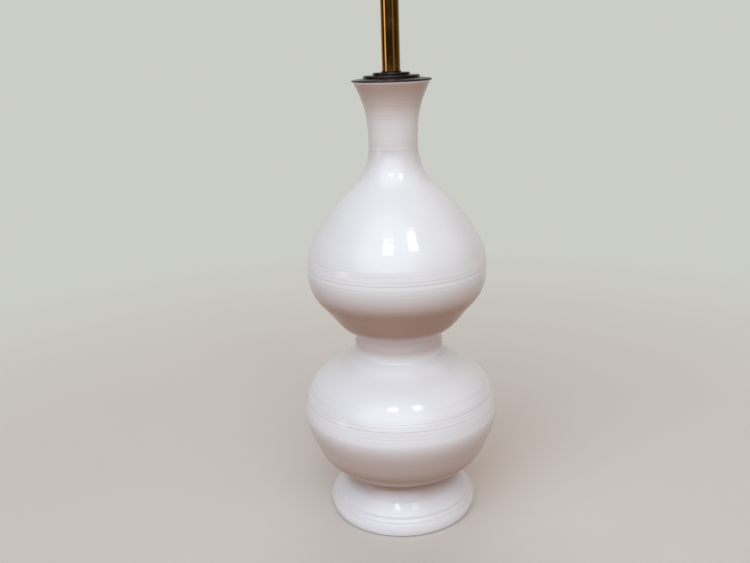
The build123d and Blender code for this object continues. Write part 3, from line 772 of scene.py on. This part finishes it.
ridge_place = combine(
    lathe,
    times(lathe, across, WAVER),
    times(lathe, along, WAVER),
    times(lathe, height_in, lathe_in["Ridges Per Metre"]),
)
ridge_noise = noise(lathe, ridge_place, 1.0, in_Detail=2.0, in_Roughness=0.45)
ridge = times(lathe, calc(lathe, "SUBTRACT", ridge_noise, 0.5), 2.0, lathe_in["Ridge Depth"])
oval = times(lathe, calc(lathe, "COSINE", times(lathe, angle, 2.0)), lathe_in["Oval"])
thrown = times(lathe, calc(lathe, "ADD", ridge, oval), outline_weight("thrown"))
print("ridges and oval:", len(lathe.nodes), "nodes")

# %% screw thread
climbed = calc(lathe, "DIVIDE", height_in, lathe_in["Thread Pitch"])
turns = calc(lathe, "SUBTRACT", climbed, calc(lathe, "DIVIDE", angle, math.tau))
groove = calc(lathe, "SUBTRACT", calc(lathe, "COSINE", times(lathe, turns, math.tau)), 1.0)
thread = times(lathe, groove, 0.5, lathe_in["Thread Depth"], outline_weight("threaded"))
print("thread:", len(lathe.nodes), "nodes")

# %% bend the grid
WELD = 0.002 * MM

radius_out = calc(lathe, "ADD", calc(lathe, "ADD", radius_in, thrown), thread)
turned_x = calc(lathe, "ADD", times(lathe, radius_out, across), lathe_in["Axis X"])
turned_place = combine(lathe, turned_x, times(lathe, radius_out, along), height_in)
lathe_steps = [add(lathe, "GeometryNodeSetPosition", in_Position=turned_place)]
# The painted shade weight and the ring weight stay on the mesh for the glaze
lathe_steps += [
    add(
        lathe, "GeometryNodeStoreNamedAttribute", data_type="FLOAT", domain="POINT",
        in_Name=label, in_Value=outline_weight(label),
    )
    for label in ("thin", "ringed")
]
lathe_steps += [
    add(lathe, "GeometryNodeMergeByDistance", in_Distance=WELD),
    add(lathe, "GeometryNodeSetShadeSmooth"),
    add(lathe, "GeometryNodeRealizeInstances"),
    add(lathe, "GeometryNodeSetMaterial", in_Material=lathe_in["Finish"]),
]
in_a_row(lathe, grid.outputs["Mesh"], lathe_steps, lathe_out["Geometry"])
print("lathe tree:", len(lathe.nodes), "nodes")

# %% [markdown]
# ## The gourd's outline
# The outline isn't typed in: it is felt out of the frame's own body with rays, from outside for the skin,
# from the axis for the inner wall and from below for the hollow foot. Rows lie close on the foot's
# mouldings and further apart on the long curves.

# %% feel the outline
SKIN_DIRECTIONS = 24
FAR = 0.3
BELOW = -0.1
BESIDE_PIPE = 10 * MM
SKIM = 0.05 * MM
FOOT_RING_TOP = foot_bottom + 18 * MM
FOOT_STEP, SKIN_STEP = 0.5 * MM, 1.6 * MM
INNER_STEP, RECESS_STEP = 8 * MM, 4 * MM
feeler = BVHTree.FromObject(nodes["gourd_body"], bpy.context.evaluated_depsgraph_get())


def outer_radius(z):
    """The skin's radius at a height: the largest of several, as the frame's facets cut inside the circle."""
    found = []
    for step in range(SKIN_DIRECTIONS):
        turn = math.tau * (step + 0.5) / SKIN_DIRECTIONS
        outwards = Vector((math.cos(turn), math.sin(turn), 0))
        hit = feeler.ray_cast(outwards * FAR + Vector((0, 0, z)), -outwards)[0]
        if hit:
            found.append(math.hypot(hit.x, hit.y))
    return max(found)


def inner_radius(z):
    """The radius of the first wall that a ray from the axis meets, away from the cord's hole."""
    hit = feeler.ray_cast(Vector((0, 0, z)), Vector((0, -1, 0)))[0]
    return math.hypot(hit.x, hit.y)


def flat_height(start_z, way):
    """The height of the first face that an upright ray beside the pipe meets, going up (1) or down (-1)."""
    return feeler.ray_cast(Vector((BESIDE_PIPE, BESIDE_PIPE, start_z)), Vector((0, 0, way)))[0].z


recess_top = flat_height(BELOW, 1)
floor_top = flat_height(lip_z, -1)
skin_z = heights(foot_bottom + SKIM, FOOT_RING_TOP, FOOT_STEP)
skin_z += heights(FOOT_RING_TOP, lip_z - SKIM, SKIN_STEP)[1:]
skin = [(outer_radius(z), z) for z in skin_z]
inner_wall = [(inner_radius(z), z) for z in heights(lip_z - SKIM, floor_top + SKIM, INNER_STEP)]
pipe_hole = [(inner_radius(z), z) for z in (floor_top - SKIM, recess_top + SKIM)]
recess_wall = [(inner_radius(z), z) for z in heights(recess_top - SKIM, foot_bottom + SKIM, RECESS_STEP)]
print("felt:", len(skin), "rows of skin,", len(inner_wall), "of the inner wall")

# %% join the outline
# Each run of the outline lies between two flat faces, and its ends are carried to them
outline = []
for run, first_z, last_z in (
    (skin, foot_bottom, lip_z),
    (inner_wall, lip_z, floor_top),
    (pipe_hole, floor_top, recess_top),
    (recess_wall, recess_top, foot_bottom),
):
    outline += [(run[0][0], first_z)] + run + [(run[-1][0], last_z)]
print("outline:", len(outline), "points, lip at", round(lip_z / MM, 1), "mm")

# %% [markdown]
# ## Where shade is painted
# Weights along the outline tell the lathe and the glaze what happens where. One keeps the ridges and the
# oval turn off the foot ring and the lip, where the cap and the felt have to fit. One says how much painted
# shade the glaze gets: by how far the wall overhangs, and in the crease over the foot, at the waist and on
# the neck. One marks the four places with fine rings.

# %% weights of the outline
FADE = 14 * MM
OVERHANG_FULL = math.radians(37)
OVERHANG_REACH = 4
SHADE_CURVE = 0.8
LOWER_BULGE, UPPER_BULGE = 0.1, 0.25
CREASE_REACH = 13 * MM
WAIST_LIFT, WAIST_REACH = 9 * MM, 14 * MM
WAIST_PAINTED_SHADE = 0.45
NECK_HEIGHT, NECK_REACH = 368 * MM, 36 * MM
NECK_PAINTED_SHADE = 0.22
LIP_ROLL = 1.8 * MM
# Height and reach of each ringed place, in millimetres
RING_PLACES = ((382, 16), (352, 10), (247, 15), (120, 16))


def narrowest(low, high):
    """The height where the skin is narrowest, between two heights."""
    return min((point for point in skin if low < point[1] < high), key=lambda point: point[0])[1]


def near(z, place, reach):
    """1 at a height, falling to 0 at a reach from it."""
    return max(0.0, 1.0 - abs(z - place) / reach)


def around(z, place, reach):
    """1 within half a reach of a height, falling to 0 at the whole reach."""
    return min(1.0, 2 * near(z, place, reach))


crease_z = narrowest(FOOT_RING_TOP, LOWER_BULGE)
waist_z = narrowest(LOWER_BULGE, UPPER_BULGE) + WAIST_LIFT
thrown_weight, thin_weight, ring_weight = [], [], []
for number, (radius, z) in enumerate(outline):
    on_skin = number <= len(skin) + 1
    inside_ends = min((z - FOOT_RING_TOP) / FADE, (lip_z - z) / FADE, 1.0)
    thrown_weight.append(max(0.0, inside_ends) if on_skin else 0.0)
    # Painted shade: full where the wall overhangs, and near the foot crease, on the neck and at the waist
    below = outline[max(1, number - OVERHANG_REACH)]
    above = outline[min(len(skin), number + OVERHANG_REACH)]
    lean = math.atan2(above[0] - below[0], above[1] - below[1])
    under = min(1.0, max(0.0, lean / OVERHANG_FULL)) ** SHADE_CURVE
    under = max(under, near(z, crease_z, CREASE_REACH))
    under = max(under, NECK_PAINTED_SHADE * around(z, NECK_HEIGHT, NECK_REACH))
    under += (WAIST_PAINTED_SHADE - under) * around(z, waist_z, WAIST_REACH)
    under *= min(1.0, (lip_z - z) / LIP_ROLL)
    thin_weight.append(under if on_skin and z > FOOT_RING_TOP else 0.0)
    rings = max(near(z, place * MM, reach * MM) for place, reach in RING_PLACES)
    ring_weight.append(rings if on_skin else 0.0)
print("thin: crease at", round(crease_z / MM), "mm, waist at", round(waist_z / MM), "mm")

# %% [markdown]
# ## The gourd body
# The lathe tree throws the body from that outline, with ridges a tenth of a millimetre deep and a turn that
# is a third of a millimetre oval.

# %% throw the body
# The outline carries the body's painted shade as a weight
body_skin = run_tree(
    "glazed_gourd",
    outline_mesh("gourd_outline", outline, thrown=thrown_weight, thin=thin_weight, ringed=ring_weight),
    lathe,
    Steps_Around=256,
    Ridge_Depth=0.10 * MM,
    Ridges_Per_Metre=210.0,
    Oval=0.35 * MM,
    Finish=finishes["white_glaze"],
)
face_outwards(body_skin)
print("glazed gourd:", len(body_skin.data.polygons), "faces")

# %% [markdown]
# ## The cord's hole
# A round hole goes through the back of the foot ring for the cord. It is drilled by a Boolean with a
# cylinder along the axis of the rubber bush, so the bush sits in a real hole. The cylinder is turned a
# little, so that none of its edges runs along a seam of the body.

# %% drill the cord hole
HOLE_RADIUS = 4.0 * MM
DRILL_LENGTH = 30 * MM
OFF_THE_SEAM = Matrix.Rotation(math.radians(2.3), 4, "Z")

bush_low, bush_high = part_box("cord_grommet")
hole_y = (bush_low[1] + bush_high[1]) / 2
hole_z = (bush_low[2] + bush_high[2]) / 2
along_y = Matrix.Rotation(math.pi / 2, 4, "X")
drill = bmesh.new()
bmesh.ops.create_cone(
    drill, cap_ends=True, segments=48, radius1=HOLE_RADIUS, radius2=HOLE_RADIUS, depth=DRILL_LENGTH,
    matrix=Matrix.Translation((0, hole_y, hole_z)) @ along_y @ OFF_THE_SEAM,
)
drill_mesh = bpy.data.meshes.new("drill")
drill.to_mesh(drill_mesh)
drill.free()
drill_piece = new_object("drill", drill_mesh)
cut = body_skin.modifiers.new("cord hole", "BOOLEAN")
cut.operation = "DIFFERENCE"
cut.object = drill_piece
freeze(body_skin)
bpy.data.objects.remove(drill_piece)
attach(body_skin, "lamp")
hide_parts("gourd_body")
print("drilled gourd:", len(body_skin.data.polygons), "faces")

# %% [markdown]
# ## Turned fittings with screw threads
# A bulb screws into its socket by a rolled round thread, and the pipe and the stud that hold the lamp
# together have a fine cut one. The lathe tree makes them all: where an outline's threaded weight is 1, each
# point moves in and out as the screw passes it. Only those rows lie close together, so a long pipe stays
# light.

# %% turn a fitting
SHARP_FROM = math.radians(32)


def turned(name, body, replaced, slot_name, axis_x, points, threaded=(0.0, 0.0), **values):
    """A lathe piece in place on its body. threaded is the range of heights that has the thread."""
    low, high = threaded
    weights = [1.0 if low < height < high else 0.0 for radius, height in points]
    source = outline_mesh(name + "_outline", points, threaded=weights)
    piece = run_tree(name, source, lathe, Axis_X=axis_x, Finish=finishes[slot_name], **values)
    face_outwards(piece)
    piece.data.set_sharp_from_angle(angle=SHARP_FROM)
    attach(piece, body)
    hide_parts(replaced)


print("turned: sharp from", round(math.degrees(SHARP_FROM)), "degrees")

# %% [markdown]
# ## Pipe and stud
# The pipe runs from under the body up to the lights and has its thread where the nut sits. The stud on top
# is threaded over its whole length. Both have the fine thread of lamp pipe, 27 turns to the inch.

# %% pipe and stud
INCH = 25.4 * MM
CUT_PITCH = INCH / 27
CUT_DEPTH = 0.55 * MM
CUT_STEP = CUT_PITCH / 8
CUT_THREAD = {"Thread_Depth": CUT_DEPTH, "Thread_Pitch": CUT_PITCH}
CHAMFER = 0.6 * MM
PIPE_RADIUS, PIPE_BORE = 4.85 * MM, 3.3 * MM
PIPE_THREAD = 24 * MM
STUD_RADIUS = 3.1 * MM

pipe_low, pipe_high = ends_z("threaded_pipe")
pipe_thread = (pipe_low + CHAMFER, pipe_low + PIPE_THREAD)
pipe_points = [(PIPE_RADIUS - CHAMFER, pipe_low)] + wall(PIPE_RADIUS, *pipe_thread, CUT_STEP)
pipe_points += [(PIPE_RADIUS, pipe_high - CHAMFER), (PIPE_RADIUS - CHAMFER, pipe_high)]
pipe_points += [(PIPE_BORE, pipe_high), (PIPE_BORE, pipe_low)]
turned(
    "cut_thread_pipe", "lamp", "threaded_pipe", "zinc_steel", 0.0, pipe_points, pipe_thread,
    Steps_Around=48, **CUT_THREAD,
)
stud_low, stud_high = ends_z("top_stud")
stud_thread = (stud_low + CHAMFER, stud_high - CHAMFER)
stud_points = [(0, stud_low), (STUD_RADIUS, stud_low)] + wall(STUD_RADIUS, *stud_thread, CUT_STEP)
stud_points += [(STUD_RADIUS - CHAMFER, stud_high), (0, stud_high)]
turned(
    "cut_thread_stud", "lamp", "top_stud", "zinc_steel", 0.0, stud_points, stud_thread,
    Steps_Around=40, **CUT_THREAD,
)
print("pipe and stud: pitch", round(CUT_PITCH / MM, 2), "mm")

# %% [markdown]
# ## Bulb caps and the sockets' screw shells
# The bulb's cap is thin metal with the round thread rolled into it, then a black glass insulator and a drop
# of solder as the tip. The screw shell in the socket is sheet metal with the same thread, so it waves on
# both sides.

# %% sizes of caps and shells
ROLLED_PITCH = INCH / 7
ROLLED_DEPTH = 0.95 * MM
ROLLED_STEP = ROLLED_PITCH / 14
ROLLED_THREAD = {"Steps_Around": 96, "Thread_Depth": ROLLED_DEPTH, "Thread_Pitch": ROLLED_PITCH}
CAP_RADIUS, CAP_CRIMP = 13.1 * MM, 12.2 * MM
CAP_PLAIN = 3.0 * MM
INSULATOR_HEIGHT = 3.4 * MM
TIP_HEIGHT, TIP_RADIUS, TIP_FLAT = 1.2 * MM, 4.2 * MM, 2.5 * MM
# The tip's round shoulder: how far in it lies, and at which share of the tip's height
SHOULDER_IN, SHOULDER_SHARE = 0.4 * MM, 0.6
SCREW_SHELL_INNER, SCREW_SHELL_OUTER = 13.4 * MM, 13.9 * MM
print("rolled thread: pitch", round(ROLLED_PITCH / MM, 2), "mm")

# %% bulb caps


def turn_bulb_cap(side):
    """The metal cap, the insulator and the tip of one bulb."""
    bulb_body, base_node = f"{side}_bulb", f"{side}_bulb_base"
    light_x = middle_x(base_node)
    cap_low, cap_high = ends_z(base_node)
    tip_z = cap_high - TIP_HEIGHT
    crown_z = tip_z - INSULATOR_HEIGHT
    cap_top_z = crown_z - INSULATOR_HEIGHT / 2
    cap_thread = (cap_low + CAP_PLAIN, cap_top_z - CUT_STEP)
    cap_points = [(0, cap_low), (CAP_RADIUS, cap_low)] + wall(CAP_RADIUS, *cap_thread, ROLLED_STEP)
    cap_points += [(CAP_CRIMP, cap_top_z), (0, cap_top_z)]
    turned(
        f"{side}_bulb_cap", bulb_body, base_node, "bulb_metal", light_x, cap_points, cap_thread,
        **ROLLED_THREAD,
    )
    insulator_points = [
        (0, cap_top_z), (CAP_CRIMP, cap_top_z), (CAP_RADIUS - INSULATOR_HEIGHT, crown_z),
        (TIP_RADIUS, tip_z), (0, tip_z),
    ]
    turned(
        f"{side}_bulb_insulator", bulb_body, base_node, "black_phenolic", light_x, insulator_points,
        Steps_Around=64,
    )
    tip_points = [
        (0, tip_z), (TIP_RADIUS, tip_z), (TIP_RADIUS - SHOULDER_IN, tip_z + TIP_HEIGHT * SHOULDER_SHARE),
        (TIP_FLAT, cap_high), (0, cap_high),
    ]
    turned(
        f"{side}_bulb_tip", bulb_body, base_node, "bulb_metal", light_x, tip_points, Steps_Around=48
    )


print("bulb cap: plain for", round(CAP_PLAIN / MM, 1), "mm, then threaded")

# %% screw shells


def turn_screw_shell(side):
    """The threaded shell of one socket, round the axis of its bulb."""
    shell_node = f"{side}_screw_shell"
    shell_low, shell_high = ends_z(shell_node)
    shell_points = wall(SCREW_SHELL_OUTER + ROLLED_DEPTH, shell_low, shell_high, ROLLED_STEP)
    shell_points += wall(SCREW_SHELL_INNER + ROLLED_DEPTH, shell_high, shell_low, ROLLED_STEP)
    turned(
        f"{side}_rolled_screw_shell", "lamp", shell_node, "bulb_metal", middle_x(f"{side}_bulb_base"),
        shell_points, (shell_low - CUT_STEP, shell_high + CUT_STEP), **ROLLED_THREAD,
    )


for side in SIDES:
    turn_bulb_cap(side)
    turn_screw_shell(side)
print("bulb caps and screw shells:", len(SIDES), "of each")

# %% [markdown]
# ## A ball chain tree
# A pull chain is a row of hollow balls with a short wire from each to the next. That is a rule, so a tree
# makes it: one line of points for the balls, one for the wires between them, and a ball or a wire on each
# point.

# %% ball chain tree
BALL_RADIUS = 1.6 * MM

ball_chain, chain_in, chain_out = geometry_tree(
    "ball_chain",
    [
        ("Balls", "Int", 10),
        ("Pitch", "Float", 4.2 * MM),
        ("Ball Radius", "Float", BALL_RADIUS),
        ("Wire Radius", "Float", 0.55 * MM),
        ("Axis X", "Float", 0.0),
        ("Top Z", "Float", 0.0),
        ("Finish", "Material", None),
    ],
)
pitch_down = times(ball_chain, chain_in["Pitch"], -1.0)
first_wire = calc(ball_chain, "ADD", chain_in["Top Z"], times(ball_chain, pitch_down, 0.5))
wire_count = calc(ball_chain, "SUBTRACT", chain_in["Balls"], 1)
wire_length = calc(ball_chain, "SUBTRACT", chain_in["Pitch"], chain_in["Ball Radius"])
wire = add(
    ball_chain, "GeometryNodeMeshCylinder",
    in_Vertices=10, in_Radius=chain_in["Wire Radius"], in_Depth=wire_length,
)
ball = add(
    ball_chain, "GeometryNodeMeshUVSphere", in_Segments=20, in_Rings=12, in_Radius=chain_in["Ball Radius"]
)
chain_parts = add(ball_chain, "GeometryNodeJoinGeometry")
for link, count, first_z in (
    (wire, wire_count, first_wire),
    (ball, chain_in["Balls"], chain_in["Top Z"]),
):
    places = add(
        ball_chain, "GeometryNodeMeshLine", in_Count=count,
        in_Start_Location=combine(ball_chain, chain_in["Axis X"], 0.0, first_z),
        in_Offset=combine(ball_chain, 0.0, 0.0, pitch_down),
    )
    links = add(
        ball_chain, "GeometryNodeInstanceOnPoints",
        in_Points=places.outputs["Mesh"], in_Instance=link.outputs["Mesh"],
    )
    plug(ball_chain, links.outputs["Instances"], chain_parts.inputs["Geometry"])
chain_steps = [
    add(ball_chain, "GeometryNodeRealizeInstances"),
    add(ball_chain, "GeometryNodeSetShadeSmooth"),
    add(ball_chain, "GeometryNodeSetMaterial", in_Material=chain_in["Finish"]),
]
in_a_row(ball_chain, chain_parts.outputs["Geometry"], chain_steps, chain_out["Geometry"])
print("ball chain tree:", len(ball_chain.nodes), "nodes")

# %% [markdown]
# ## Pull chains
# Each chain ends in a small bell for the fingers. The bell is turned on the lathe and joined to the chain,
# since the two move as one.

# %% pull chains
# The bell's section: radius and height above its rim, in millimetres, down its outside and up its hollow
BELL = (
    (0, 9.0), (0.8, 8.95), (1.15, 8.7), (1.3, 8.2), (1.45, 7.4), (1.8, 6.2), (2.25, 4.9), (2.6, 3.4),
    (2.85, 2.0), (3.15, 1.0), (3.4, 0.5), (3.4, 0.0), (2.9, 0.0), (2.75, 0.7), (2.4, 2.2), (2.0, 3.8),
    (1.3, 5.2), (0, 5.6),
)

for side in SIDES:
    node = f"{side}_pull_chain"
    chain_x = middle_x(node)
    chain_low, chain_high = ends_z(node)
    chain = run_tree(
        f"{side}_ball_chain", bpy.data.meshes.new("no_source"), ball_chain,
        Axis_X=chain_x, Top_Z=chain_high - BALL_RADIUS, Finish=finishes["spun_brass"],
    )
    bell_source = outline_mesh(
        "bell_outline", [(radius * MM, chain_low + height * MM) for radius, height in BELL]
    )
    bell = run_tree(
        "bell", bell_source, lathe, Steps_Around=48, Axis_X=chain_x, Finish=finishes["spun_brass"]
    )
    face_outwards(bell)
    both = bmesh.new()
    for part in (chain, bell):
        both.from_mesh(part.data)
    both.to_mesh(chain.data)
    both.free()
    bpy.data.objects.remove(bell)
    chain.data.set_sharp_from_angle(angle=SHARP_FROM)
    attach(chain, f"{side}_chain")
    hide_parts(node)
    print(chain.name, "with", len(chain.data.polygons), "faces")

# %% [markdown]
# ## Felt underneath
# A disc of felt, cut by hand, closes the hollow foot and keeps the table from scratches. Its edge is a
# little uneven and soft, and its corners are round, so the lathe turns it with a waver and its material
# gives it a nap.

# %% felt pad
PAD_SPARE = 0.2 * MM
PAD_ROUND = 0.4 * MM
PAD_BEVEL = 0.3 * PAD_ROUND

pad_bottom, pad_top = ends_z("felt_pad")
pad_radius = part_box("felt_pad")[1][0] - PAD_SPARE
pad_edge = [
    (pad_radius - PAD_ROUND, pad_top),
    (pad_radius - PAD_BEVEL, pad_top - PAD_BEVEL),
    (pad_radius, pad_top - PAD_ROUND),
    (pad_radius, pad_bottom + PAD_ROUND),
    (pad_radius - PAD_BEVEL, pad_bottom + PAD_BEVEL),
    (pad_radius - PAD_ROUND, pad_bottom),
]
pad_points = [(0, pad_bottom), (0, pad_top)] + pad_edge
pad = run_tree(
    "felt_disc",
    outline_mesh("felt_outline", pad_points, thrown=[0.0, 0.0] + [1.0] * len(pad_edge)),
    lathe,
    Steps_Around=160,
    Ridge_Depth=0.15 * MM,
    Ridges_Per_Metre=900.0,
    Oval=0.1 * MM,
    Finish=finishes["felt"],
)
face_outwards(pad)
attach(pad, "lamp")
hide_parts("felt_pad")
print("felt disc:", len(pad.data.polygons), "faces")
